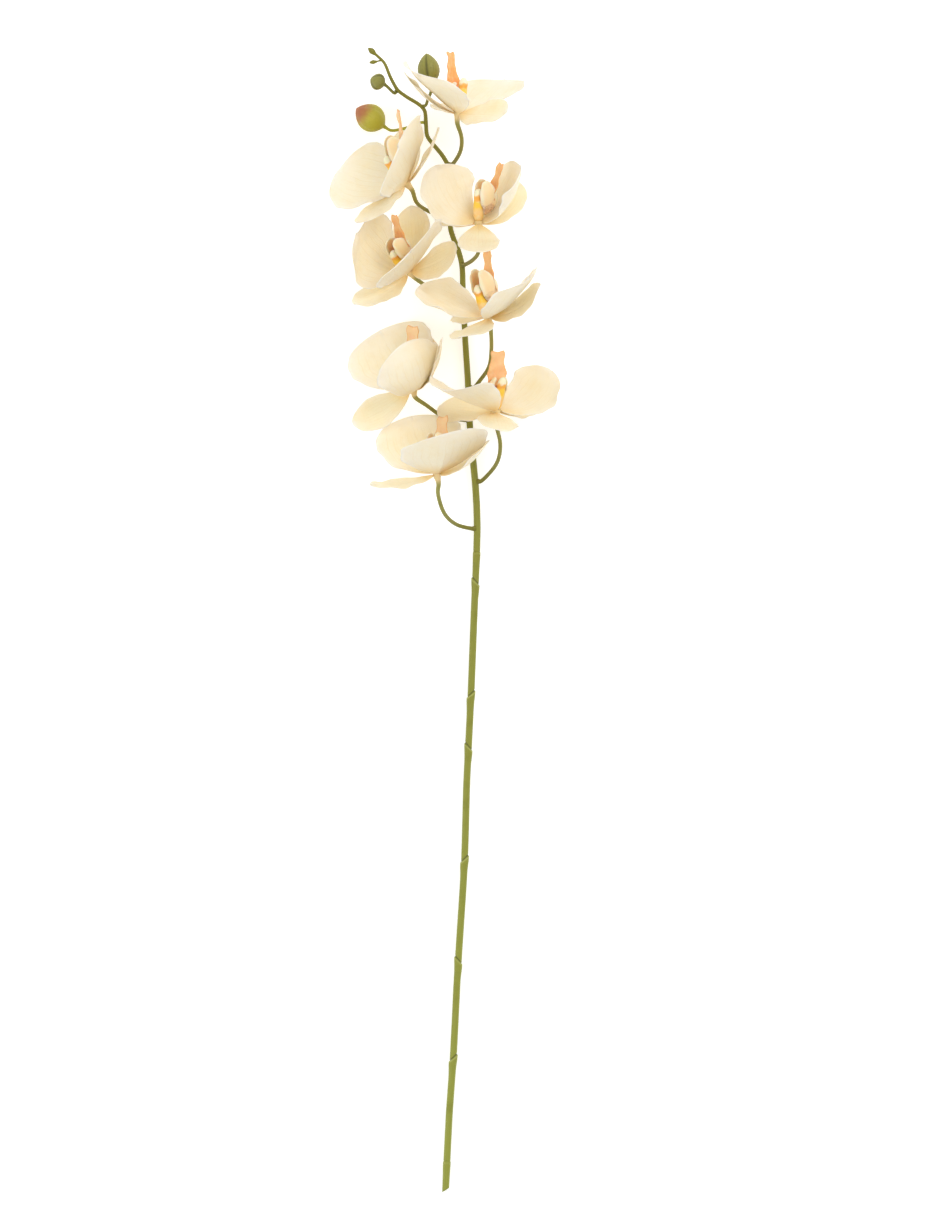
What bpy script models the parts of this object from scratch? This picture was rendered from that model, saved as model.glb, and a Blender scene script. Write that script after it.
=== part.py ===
"""Cut flower stem of a cream moth orchid: eight open flowers and five buds, lying on a table.

Metres, +Z up. The stem runs along +Y from its cut end; the flowers face mostly along +Y.
"""
import bpy
from math import cos, pi, radians, sin, sqrt, tan
from mathutils import Matrix, Vector

MM = 0.001

# ---- driving sizes, millimetres ----
PETAL_LENGTH = 58.0
PETAL_WIDTH = 72.0
SEPAL_LENGTH = 52.0
SEPAL_WIDTH = 33.0
BLADE_THICKNESS = 0.9
PETAL_CLAW = 8.0
SEPAL_CLAW = 4.4
RECEPTACLE_RADIUS = 3.2
RECEPTACLE_GAP = 0.3
SEPAL_SETBACK = 2.0
COLUMN_LENGTH = 24.0
COLUMN_RADIUS = 4.3
LIP_LENGTH = 46.0
LIP_WIDTH = 15.0
STEM_RADIUS = 2.75
NODE_SWELL = 0.45
PEDICEL_RADIUS = 1.6
JOINT_GAP = 0.3
STEM_SIDES = 10
PEDICEL_SIDES = 8

# centre line of the stem, from the cut end to the tip: x, y, z
STEM_LINE = [
    (-11.0, 3.0, 3.1), (-8.0, 65.0, 3.6), (-5.0, 106.0, 4.0), (-2.0, 167.0, 4.4),
    (1.0, 215.0, 4.8), (4.0, 263.0, 5.1), (5.5, 320.0, 5.5), (7.0, 352.0, 5.7),
    (9.0, 393.0, 6.0), (11.0, 445.0, 6.4), (12.5, 482.0, 6.6), (14.0, 526.0, 6.9),
    (12.5, 560.0, 7.1), (8.0, 607.0, 7.3), (6.5, 643.0, 7.4), (4.5, 673.0, 7.5),
    (2.5, 718.0, 7.5), (2.0, 733.0, 7.6), (-1.5, 746.0, 7.8), (-7.0, 760.0, 8.2),
    (-8.5, 786.0, 9.5), (-9.0, 812.0, 12.0), (-20.0, 827.0, 15.0), (-26.0, 835.0, 17.0),
    (-27.0, 854.0, 22.0), (-33.0, 860.0, 25.0), (-49.0, 870.0, 30.0), (-59.0, 892.0, 35.0),
    (-66.0, 898.0, 37.0)]
# radius of the stem against y
STEM_TAPER = [(0.0, 1.0), (545.0, 1.0), (620.0, 0.93), (735.0, 0.8), (812.0, 0.66), (870.0, 0.5), (900.0, 0.4)]
# nodes of the stem, y
STEM_NODES = [25.0, 107.0, 184.0, 264.0, 352.5, 394.0, 483.0]
TIP_BUD_LENGTH = 8.0
TIP_BUD_RADIUS = 2.4

# Every flower: place of its centre, heading and tilt of its face, roll about its own axis,
# swing and turn of the lip, its size and that of its side lobes, its droop,
# and for each petal and sepal turn, lean, bend, cup, roll and sweep (degrees).
FLOWERS = {
    "flower_1": dict(
        at=(-1, 853, 54.2), heading=85, tilt=5, roll=50, swing=-8, lip_turn=-5, lip_size=1.0, ear=0.6, droop=0,
        right_petal=(0, 28, 5, 25, -14, 0), left_petal=(0, 8, 38, 25, -5, 5),
        dorsal_sepal=(-5, 0, 15, 25, 40, 10), right_lateral_sepal=(10, 15, 40, 10, -8, -5),
        left_lateral_sepal=(0, 3, 5, 18, -10, 0),
        stalk=[(1.5, 833, 46), (1, 823, 34), (-4, 814, 20)], joint=812),
    "flower_2": dict(
        at=(-43, 798, 38.7), heading=130, tilt=15, roll=-75, swing=-10, lip_turn=-10, lip_size=1.1, ear=1.05, droop=10,
        right_petal=(30, 20, 30, 15, -10, 0), left_petal=(0, 32, 15, 10, 18, -25),
        dorsal_sepal=(8, -6, 25, 15, -10, 5), right_lateral_sepal=(5, 18, 25, 12, 0, 0),
        left_lateral_sepal=(5, 14, 20, 10, 0, 5),
        stalk=[(-34, 782, 30), (-26, 776, 18)], joint=771),
    "flower_3": dict(
        at=(15, 766, 59), heading=90, tilt=15, roll=-5, swing=0, lip_turn=-60, lip_size=1.0, ear=1.0, droop=0,
        right_petal=(-10, 15, 80, 25, -20, 0), left_petal=(0, 25, 65, 40, 10, -10),
        dorsal_sepal=(5, -20, 20, 5, 0, 0), right_lateral_sepal=(-5, -5, 15, 15, -25, 0),
        left_lateral_sepal=(5, 5, 55, 20, 20, 5),
        stalk=[(15, 743, 42), (11, 737, 26)], joint=733),
    "flower_4": dict(
        at=(-41, 728, 42), heading=135, tilt=30, roll=-75, swing=-20, lip_turn=10, lip_size=1.05, ear=1.0, droop=0,
        right_petal=(30, 35, 95, 25, -5, 0), left_petal=(0, 35, 10, 10, -8, -15),
        dorsal_sepal=(0, 10, 30, 10, -10, 0), right_lateral_sepal=(-15, 15, 25, 15, 15, 0),
        left_lateral_sepal=(-20, -5, 20, 10, 10, 10),
        stalk=[(-26, 716, 24), (-12, 708, 12)], joint=702),
    "flower_5": dict(
        at=(22, 692, 64), heading=105, tilt=20, roll=-40, swing=5, lip_turn=-10, lip_size=1.05, ear=1.1, droop=0,
        right_petal=(15, 16, 30, 25, 8, 0), left_petal=(0, 20, 30, 30, 0, 10),
        dorsal_sepal=(10, 0, 15, 5, 0, -15), right_lateral_sepal=(20, -15, 15, 15, -5, -5),
        left_lateral_sepal=(-30, 0, 50, 10, 15, 5),
        stalk=[(25, 665, 37), (23, 652, 22), (17, 643, 13)], joint=636),
    "flower_6": dict(
        at=(-37, 636, 34.8), heading=105, tilt=30, roll=-70, swing=0, lip_turn=30, lip_size=1.0, ear=1.0, droop=0,
        right_petal=(-5, 15, 30, 10, -15, 0), left_petal=(0, 20, 120, 55, 15, -15),
        dorsal_sepal=(-15, -30, 30, 5, -20, 5), right_lateral_sepal=(10, 12, 20, 10, 0, 0),
        left_lateral_sepal=(4, 28, 55, 15, 0, -15),
        stalk=[(-26, 622, 28), (-12, 613, 16)], joint=611),
    "flower_7": dict(
        at=(29, 618, 50.4), heading=85, tilt=15, roll=25, swing=-8, lip_turn=0, lip_size=0.95, ear=0.75, droop=0,
        right_petal=(14, 18, 10, 45, 10, 0), left_petal=(0, -10, 95, 20, 5, -10),
        dorsal_sepal=(-20, 0, 0, 5, -5, 10), right_lateral_sepal=(-10, -15, 15, 10, -30, 5),
        left_lateral_sepal=(-10, -10, 15, 15, 20, 0),
        stalk=[(32, 592, 40), (30, 578, 26), (22, 567, 13)], joint=562),
    "flower_8": dict(
        at=(-18, 569, 53), heading=100, tilt=5, roll=-75, swing=0, lip_turn=30, lip_size=0.92, ear=1.0, droop=0,
        right_petal=(5, 20, 70, 20, -5, 0), left_petal=(0, 25, 20, 15, 0, -10),
        dorsal_sepal=(0, -10, 25, 5, -10, 0), right_lateral_sepal=(0, 15, 15, 15, 5, 0),
        left_lateral_sepal=(0, 0, 50, 20, 15, 5),
        stalk=[(-17, 553, 46), (-12, 537, 32), (-2, 528, 16)], joint=525),
}
# seat of each petal and sepal round the flower, degrees, and how far behind the petals it starts
SEATS = {
    "right_petal": (0, 0.0), "left_petal": (180, 0.0), "dorsal_sepal": (90, SEPAL_SETBACK),
    "right_lateral_sepal": (-50, SEPAL_SETBACK), "left_lateral_sepal": (-130, SEPAL_SETBACK)}

# buds: line of the stalk from the stem outwards, where the bud begins and ends, widest radius
BUDS = {
    "green_bud_small": dict(
        joint=870, line=[(-57, 873, 31)], foot=(-59, 874.5, 32), tip=(-70, 879, 36), radius=6.7),
    "green_bud_large": dict(
        joint=857, line=[(-25, 863, 26), (-22.5, 869, 29)], foot=(-22.5, 875, 31), tip=(-26, 899, 34),
        radius=8.7),
    "blush_bud": dict(
        joint=845, line=[(-37, 842.5, 15), (-46, 840, 13), (-54, 839, 14)], foot=(-59.5, 842, 14), tip=(-81.5, 856, 20),
        radius=11.0),
}

COLOURS = {
    "petal": (0.92, 0.86, 0.70), "sepal": (0.88, 0.80, 0.60), "lip": (0.90, 0.50, 0.22),
    "pedicel": (0.34, 0.36, 0.08), "stem": (0.33, 0.36, 0.08), "green_bud": (0.25, 0.28, 0.08),
    "blush_bud": (0.55, 0.50, 0.15)}


def clear():
    for item in list(bpy.data.objects):
        bpy.data.objects.remove(item, do_unlink=True)
    for item in list(bpy.data.meshes):
        bpy.data.meshes.remove(item)


def material(name, colour):
    item = bpy.data.materials.new(name)
    item.use_nodes = True
    shader = item.node_tree.nodes["Principled BSDF"]
    shader.inputs["Base Color"].default_value = (*colour, 1.0)
    shader.inputs["Roughness"].default_value = 0.6
    item.diffuse_color = (*colour, 1.0)
    return item


def add(name, points, faces, colour):
    mesh = bpy.data.meshes.new(name)
    mesh.from_pydata([tuple(point * MM) for point in points], [], faces)
    mesh.update()
    item = bpy.data.objects.new(name, mesh)
    bpy.context.scene.collection.objects.link(item)
    mesh.materials.append(material(name, colour))
    for polygon in mesh.polygons:
        polygon.use_smooth = True
    return item


def smooth_line(points, steps):
    """Centripetal curve through the points, with a number of steps in each span."""
    points = [Vector(point) for point in points]
    ends = [points[0] * 2 - points[1]] + points + [points[-1] * 2 - points[-2]]
    line = []
    for index in range(len(points) - 1):
        a, b, c, d = ends[index:index + 4]
        ta = 0.0
        tb = ta + sqrt((b - a).length)
        tc = tb + sqrt((c - b).length)
        td = tc + sqrt((d - c).length)
        for step in range(steps):
            t = tb + (tc - tb) * step / steps
            ab = a * ((tb - t) / (tb - ta)) + b * ((t - ta) / (tb - ta))
            bc = b * ((tc - t) / (tc - tb)) + c * ((t - tb) / (tc - tb))
            cd = c * ((td - t) / (td - tc)) + d * ((t - tc) / (td - tc))
            abc = ab * ((tc - t) / (tc - ta)) + bc * ((t - ta) / (tc - ta))
            bcd = bc * ((td - t) / (td - tb)) + cd * ((t - tb) / (td - tb))
            line.append(abc * ((tc - t) / (tc - tb)) + bcd * ((t - tb) / (tc - tb)))
    line.append(points[-1])
    return line


def tube(line, radii, sides):
    """Closed body round a line: one ring to each point, a centre point at each end."""
    count = len(line)
    tangents = []
    for index in range(count):
        before = line[max(index - 1, 0)]
        after = line[min(index + 1, count - 1)]
        tangents.append((after - before).normalized())
    across = tangents[0].orthogonal().normalized()
    points = []
    for index in range(count):
        across = (across - tangents[index] * across.dot(tangents[index])).normalized()
        other = tangents[index].cross(across)
        for side in range(sides):
            turn = 2 * pi * side / sides
            points.append(line[index] + (across * cos(turn) + other * sin(turn)) * radii[index])
    faces = []
    for index in range(count - 1):
        for side in range(sides):
            following = (side + 1) % sides
            faces.append((index * sides + side, index * sides + following,
                          (index + 1) * sides + following, (index + 1) * sides + side))
    first = len(points)
    points.append(line[0].copy())
    points.append(line[-1].copy())
    last_ring = (count - 1) * sides
    for side in range(sides):
        following = (side + 1) % sides
        faces.append((following, side, first))
        faces.append((last_ring + side, last_ring + following, first + 1))
    return points, faces


def between(table, place):
    """Straight-line reading of a table of pairs."""
    if place <= table[0][0]:
        return table[0][1]
    for (x0, y0), (x1, y1) in zip(table, table[1:]):
        if place <= x1:
            return y0 + (y1 - y0) * (place - x0) / (x1 - x0)
    return table[-1][1]


def flower_axes(flower):
    heading = radians(flower["heading"])
    tilt = radians(flower["tilt"])
    roll = radians(flower["roll"])
    face = Vector((cos(heading) * cos(tilt), sin(heading) * cos(tilt), sin(tilt)))
    up = (Vector((0, 0, 1)) - face * face.z).normalized()
    up = up * cos(roll) + face.cross(up) * sin(roll)
    side = up.cross(face)
    return Matrix((side, up, face)).transposed()


def blade(length, width, claw, shape, pose, seat, setback, rows, columns):
    """A petal or sepal in the flower's own frame (side, up, face)."""
    turn, lean, bend, cup, roll, sweep = [radians(value) for value in pose]
    fine, coarse = shape
    widest = fine / (fine + coarse)
    scale = 1.0 / (widest ** fine * (1 - widest) ** coarse)
    curl = (width / 2) / max(cup, radians(1.0))
    seat_turn = Matrix.Rotation(radians(seat) + turn, 3, "Z")
    start = Vector((RECEPTACLE_RADIUS + RECEPTACLE_GAP, 0, -setback))
    stations = []
    for row in range(rows + 1):
        t = (1 - cos(pi * (0.12 + 0.88 * row / rows))) / 2
        stations.append(t)
    low = stations[0]
    stations = [(t - low) / (stations[-1] - low) for t in stations]
    point = Vector((0, 0, 0))
    frames = []
    for index, u in enumerate(stations):
        frame = (Matrix.Rotation(-(lean + bend * u), 3, "Y") @ Matrix.Rotation(sweep * (u - 0.5), 3, "Z")
                 @ Matrix.Rotation(roll, 3, "X"))
        if index:
            middle = (frame.col[0] + frames[-1][1].col[0]) / 2
            point = point + middle * ((u - stations[index - 1]) * length)
        frames.append((point.copy(), frame, u))
    front = []
    back = []
    for centre, frame, u in frames[:-1]:
        half = claw / 2 * (1 - u) ** 2 + width / 2 * scale * u ** fine * (1 - u) ** coarse
        for column in range(columns + 1):
            angle = half * (2 * column / columns - 1) / curl
            x = curl * sin(angle)
            z = curl * (1 - cos(angle))
            place = centre + frame.col[1] * x + frame.col[2] * z
            normal = frame.col[2] * cos(angle) - frame.col[1] * sin(angle)
            front.append(seat_turn @ (place + start + normal * BLADE_THICKNESS / 2))
            back.append(seat_turn @ (place + start - normal * BLADE_THICKNESS / 2))
    centre, frame, u = frames[-1]
    front.append(seat_turn @ (centre + start + frame.col[2] * BLADE_THICKNESS / 2))
    back.append(seat_turn @ (centre + start - frame.col[2] * BLADE_THICKNESS / 2))
    wide = columns + 1
    size = len(front)
    tip = size - 1
    faces = []
    for row in range(rows - 1):
        for column in range(columns):
            a = row * wide + column
            b = a + wide
            faces.append((a, a + 1, b + 1, b))
            faces.append((size + a, size + b, size + b + 1, size + a + 1))
        a = row * wide
        b = a + wide
        faces.append((a, b, size + b, size + a))
        faces.append((a + columns, size + a + columns, size + b + columns, b + columns))
    last = (rows - 1) * wide
    for column in range(columns):
        a = last + column
        faces.append((a, a + 1, tip))
        faces.append((size + a, size + tip, size + a + 1))
        faces.append((column, size + column, size + column + 1, column + 1))
    faces.append((last, tip, size + tip, size + last))
    faces.append((last + columns, size + last + columns, size + tip, tip))
    return front + back, faces


def ribbon(stations, thickness):
    """Closed strip: each station is a centre, a half width and the direction across it."""
    points = []
    for index, (centre, half, across) in enumerate(stations):
        before = stations[max(index - 1, 0)][0]
        after = stations[min(index + 1, len(stations) - 1)][0]
        along = (after - before).normalized()
        across = across.normalized()
        normal = along.cross(across).normalized()
        for side, lift in ((-1, -1), (1, -1), (1, 1), (-1, 1)):
            points.append(centre + across * side * half + normal * lift * thickness / 2)
    faces = [(3, 2, 1, 0)]
    for index in range(len(stations) - 1):
        for side in range(4):
            following = (side + 1) % 4
            a = index * 4
            faces.append((a + side, a + following, a + 4 + following, a + 4 + side))
    a = (len(stations) - 1) * 4
    faces.append((a, a + 1, a + 2, a + 3))
    return points, faces


def joined(name, bodies, colour):
    """One closed body from several that overlap."""
    pieces = [add(name if index == 0 else name + "_tool_%d" % index, points, faces, colour)
              for index, (points, faces) in enumerate(bodies)]
    first = pieces[0]
    for tool in pieces[1:]:
        step = first.modifiers.new("join", "BOOLEAN")
        step.operation = "UNION"
        step.solver = "EXACT"
        step.object = tool
    graph = bpy.context.evaluated_depsgraph_get()
    mesh = bpy.data.meshes.new_from_object(first.evaluated_get(graph))
    first.modifiers.clear()
    first.data = mesh
    for tool in pieces[1:]:
        bpy.data.objects.remove(tool, do_unlink=True)
    return first


def lip_bodies(turn, size, ear, droop):
    """Column, middle lobe and two side lobes in the flower's own frame.

    The lobes turn about the face axis and droop away from the column. They have a size of their own, and the
    side lobes a share of it.
    """
    foot = 1.2
    rise = [(0, 0), (0.12, 0), (0.35, 0.6), (0.6, 1.0), (0.82, 0.8), (0.95, 0.4), (1, 0.2)]
    line = [Vector((0, up, foot + COLUMN_LENGTH * t)) for t, up in rise]
    radii = [COLUMN_RADIUS * r for r in (0.62, 0.72, 0.92, 1.0, 0.86, 0.5, 0.2)]
    column = tube(line, radii, 8)
    reach = LIP_LENGTH - 4.0
    half = LIP_WIDTH / 2
    side = Vector((1, 0, 0))
    lobe = [(0.0, 0.30, -1.5), (0.14, 0.38, -7.5), (0.26, 0.70, -10.5), (0.38, 1.0, -12.2), (0.50, 0.95, -13.6),
            (0.64, 0.68, -15.3), (0.80, 0.56, -17.3), (0.92, 0.60, -19.2), (1.0, 0.64, -20.0)]
    middle = ribbon([(Vector((0, up * size, 4.0 + reach * size * t)), half * size * w, side) for t, w, up in lobe], 1.4)
    lobes = [middle]
    for hand in (-1, 1):
        path = [(2.2, -3.5, 6.0, 2.0), (5.6, -6.0, 10.0, 4.4), (7.0, -6.5, 17.0, 6.6), (6.6, -5.2, 25.0, 6.2),
                (4.6, -3.6, 31.0, 3.2)]
        share = size * ear
        lobes.append(ribbon([(Vector((hand * x, up, 6.0 + (z - 6.0) * share)), w * share, Vector((0, 1, 0.15)))
                             for x, up, z, w in path], 1.0))
    spin = Matrix.Rotation(radians(turn), 3, "Z")
    slope = tan(radians(droop))
    return [column] + [([spin @ Vector((point.x, point.y - slope * max(point.z - 4.0, 0.0), point.z)) for point in points],
                        faces) for points, faces in lobes]


def place(body, flower, swing=0.0):
    """Body from the flower's own frame to the table; a swing leans its front part to one side."""
    axes = flower_axes(flower)
    slope = tan(radians(swing))
    moved = []
    for point in body:
        aside = Vector((slope * max(point.z - 4.0, 0.0), 0, 0))
        moved.append(axes @ (point + aside) + Vector(flower["at"]))
    return moved


def stem_line():
    return smooth_line(STEM_LINE[:-1], 2) + [Vector(STEM_LINE[-1])]


def stem_radius(y):
    return STEM_RADIUS * between(STEM_TAPER, y)


def on_stem(y):
    """Point of the stem's centre line at a given y, and the direction of the line there."""
    line = stem_line()
    for a, b in zip(line, line[1:]):
        if a.y <= y <= b.y:
            t = (y - a.y) / (b.y - a.y)
            return a + (b - a) * t, (b - a).normalized()
    return line[-1], (line[-1] - line[-2]).normalized()


def make_stem():
    line = stem_line()
    lower = []
    for a, b in zip(line, line[1:]):
        lower.append(a)
        for node in STEM_NODES:
            for offset in (-12.0, 0.0, 2.0):
                y = node + offset
                if a.y + 0.5 < y < b.y - 0.5:
                    lower.append(a + (b - a) * ((y - a.y) / (b.y - a.y)))
    lower.append(line[-1])
    lower.sort(key=lambda point: point.y)
    radii = []
    for point in lower:
        swell = 0.0
        for node in STEM_NODES:
            swell = max(swell, between([(node - 12.0, 0.0), (node, NODE_SWELL), (node + 2.0, 0.0)], point.y))
        radii.append(stem_radius(point.y) + swell)
    end = lower[-1]
    toward = (lower[-1] - lower[-2]).normalized()
    for t, r in ((0.15, 0.85), (0.45, 1.0), (0.8, 0.7), (1.0, 0.2)):
        lower.append(end + toward * TIP_BUD_LENGTH * t)
        radii.append(TIP_BUD_RADIUS * r)
    main = tube(lower, radii, STEM_SIDES)
    twig_foot = Vector((-62.0, 893.6, 35.8))
    twig = [twig_foot, Vector((-64.5, 892.8, 36.2)), Vector((-66.0, 892.3, 36.5)), Vector((-68.5, 892.0, 36.8)),
            Vector((-70.5, 891.6, 37.0))]
    side_bud = tube(twig, [0.7, 0.6, 1.4, 1.5, 0.4], 6)
    return joined("stem", [main, side_bud], COLOURS["stem"])


def make_pedicel(name, flower):
    axis, along = on_stem(flower["joint"])
    first = Vector(flower["stalk"][-1])
    away = first - axis
    away = (away - along * away.dot(along)).normalized()
    centre = Vector(flower["at"])
    face = flower_axes(flower).col[2]
    root = stem_radius(axis.y) + JOINT_GAP
    points = [axis + away * root, axis + away * (root + 2.5)]
    points += [Vector(point) for point in reversed(flower["stalk"])]
    points += [centre - face * 9.0, centre - face * 4.0, centre + face * 0.9]
    line = smooth_line(points, 2)
    radii = []
    for index in range(len(line)):
        left = (line[index] - centre).length
        radii.append(between([(0.0, RECEPTACLE_RADIUS), (4.0, 2.9), (9.0, PEDICEL_RADIUS * 1.1),
                              (20.0, PEDICEL_RADIUS)], left))
    radii[-1] = RECEPTACLE_RADIUS
    points, faces = tube(line, radii, PEDICEL_SIDES)
    add(name + "_pedicel", points, faces, COLOURS["pedicel"])


def make_bud(name, bud):
    axis, along = on_stem(bud["joint"])
    first = Vector(bud["line"][0])
    away = first - axis
    away = (away - along * away.dot(along)).normalized()
    root = stem_radius(axis.y) + JOINT_GAP
    foot = Vector(bud["foot"])
    tip = Vector(bud["tip"])
    line = smooth_line([axis + away * root, axis + away * (root + 2.0)]
                       + [Vector(point) for point in bud["line"]] + [foot], 2)
    radii = [1.2] * len(line)
    for t, r in ((0.08, 0.45), (0.22, 0.80), (0.42, 1.0), (0.62, 0.95), (0.80, 0.70), (0.93, 0.34), (1.0, 0.08)):
        line.append(foot + (tip - foot) * t)
        radii.append(bud["radius"] * r)
    points, faces = tube(line, radii, 10)
    colour = COLOURS["blush_bud"] if name == "blush_bud" else COLOURS["green_bud"]
    add(name, points, faces, colour)


def make_flower(name, flower):
    for part, (seat, setback) in SEATS.items():
        if part.endswith("petal") and "sepal" not in part:
            body, faces = blade(PETAL_LENGTH, PETAL_WIDTH, PETAL_CLAW, (0.95, 0.50), flower[part], seat,
                                setback, 7, 6)
            colour = COLOURS["petal"]
        else:
            body, faces = blade(SEPAL_LENGTH, SEPAL_WIDTH, SEPAL_CLAW, (0.95, 0.60), flower[part], seat,
                                setback, 6, 4)
            colour = COLOURS["sepal"]
        add(name + "_" + part, place(body, flower), faces, colour)
    lip = [(place(points, flower, flower["swing"]), faces) 
           for points, faces in lip_bodies(flower["lip_turn"], flower["lip_size"], flower["ear"], flower["droop"])]
    joined(name + "_lip", lip, COLOURS["lip"])
    make_pedicel(name, flower)


def settle_origin():
    """Origin at the middle of the foot of the bounding box."""
    items = [item for item in bpy.data.objects if item.type == "MESH"]
    low = Vector((1e9, 1e9, 1e9))
    high = -low
    for item in items:
        for vertex in item.data.vertices:
            low = Vector(map(min, low, vertex.co))
            high = Vector(map(max, high, vertex.co))
    shift = Vector(((low.x + high.x) / 2, (low.y + high.y) / 2, low.z))
    for item in items:
        item.data.transform(Matrix.Translation(-shift))


def close_up():
    """Outward faces on every body."""
    import bmesh
    for item in bpy.data.objects:
        body = bmesh.new()
        body.from_mesh(item.data)
        bmesh.ops.recalc_face_normals(body, faces=body.faces)
        body.to_mesh(item.data)
        body.free()


def main():
    clear()
    make_stem()
    for name, flower in FLOWERS.items():
        make_flower(name, flower)
    for name, bud in BUDS.items():
        make_bud(name, bud)
    settle_origin()
    close_up()


main()
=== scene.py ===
"""Cut stem of a cream moth orchid: eight open flowers and five buds, lying on a pale table."""

from math import cos, pi, radians, sin, sqrt, tan

import bmesh
import bpy
import numpy as np
from mathutils import Matrix, Vector


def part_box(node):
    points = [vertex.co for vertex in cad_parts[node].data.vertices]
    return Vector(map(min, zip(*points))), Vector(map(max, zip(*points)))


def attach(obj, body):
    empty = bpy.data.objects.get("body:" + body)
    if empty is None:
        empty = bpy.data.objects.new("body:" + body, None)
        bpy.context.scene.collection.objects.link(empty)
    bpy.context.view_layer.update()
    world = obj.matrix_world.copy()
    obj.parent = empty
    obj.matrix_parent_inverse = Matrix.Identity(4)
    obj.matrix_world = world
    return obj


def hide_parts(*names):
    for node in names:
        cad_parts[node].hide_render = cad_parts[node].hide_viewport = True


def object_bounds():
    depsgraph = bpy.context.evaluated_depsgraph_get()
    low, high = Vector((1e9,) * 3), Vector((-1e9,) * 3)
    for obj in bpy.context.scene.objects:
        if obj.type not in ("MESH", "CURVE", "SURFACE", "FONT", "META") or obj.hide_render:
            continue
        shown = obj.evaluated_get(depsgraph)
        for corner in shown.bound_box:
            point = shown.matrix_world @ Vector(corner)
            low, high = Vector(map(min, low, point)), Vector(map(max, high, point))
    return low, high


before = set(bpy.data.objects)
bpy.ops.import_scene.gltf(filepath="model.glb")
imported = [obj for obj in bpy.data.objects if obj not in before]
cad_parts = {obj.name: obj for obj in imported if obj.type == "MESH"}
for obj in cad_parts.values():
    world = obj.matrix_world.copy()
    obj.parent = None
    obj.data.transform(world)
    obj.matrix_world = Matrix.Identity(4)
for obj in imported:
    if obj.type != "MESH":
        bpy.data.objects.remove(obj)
cad_low, cad_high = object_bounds()

MM = 0.001

# ---- sizes shared with the solid model, millimetres ----
PETAL = dict(length=58.0, width=72.0, claw=8.0, shape=(0.95, 0.50), rows=7, columns=6)
SEPAL = dict(length=52.0, width=33.0, claw=4.4, shape=(0.95, 0.60), rows=6, columns=4)
BLADE_THICKNESS = 0.9
SEAT_RADIUS = 3.5
SEPAL_SETBACK = 2.0
STEM_RADIUS = 2.75
PEDICEL_RADIUS = 1.6
RECEPTACLE_RADIUS = 3.2
ROOT_SINK = 0.3     # how far the foot of a stalk reaches into the stem

# centre line of the stem from the cut end to the tip, and its share of the full thickness against y
STEM_LINE = [
    (-11.0, 3.0, 3.1), (-8.0, 65.0, 3.6), (-5.0, 106.0, 4.0), (-2.0, 167.0, 4.4),
    (1.0, 215.0, 4.8), (4.0, 263.0, 5.1), (5.5, 320.0, 5.5), (7.0, 352.0, 5.7),
    (9.0, 393.0, 6.0), (11.0, 445.0, 6.4), (12.5, 482.0, 6.6), (14.0, 526.0, 6.9),
    (12.5, 560.0, 7.1), (8.0, 607.0, 7.3), (6.5, 643.0, 7.4), (4.5, 673.0, 7.5),
    (2.5, 718.0, 7.5), (2.0, 733.0, 7.6), (-1.5, 746.0, 7.8), (-7.0, 760.0, 8.2),
    (-8.5, 786.0, 9.5), (-9.0, 812.0, 12.0), (-20.0, 827.0, 15.0), (-26.0, 835.0, 17.0),
    (-27.0, 854.0, 22.0), (-33.0, 860.0, 25.0), (-49.0, 870.0, 30.0), (-59.0, 892.0, 35.0),
    (-66.0, 898.0, 37.0)]
STEM_TOP = 900.0
STEM_TAPER = [
    (0.0, 1.0), (545.0, 1.0), (620.0, 0.93), (735.0, 0.8), (812.0, 0.66), (870.0, 0.5), (STEM_TOP, 0.4)]
# nodes of the stem: y, and the side where the edge of the sheath is higher (1 right, -1 left, 0 level)
STEM_NODES = [
    (25.0, 0), (107.0, 1), (184.0, -1), (264.0, 1), (352.5, -1), (394.0, 1), (483.0, -1), (506.0, 0)]

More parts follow.
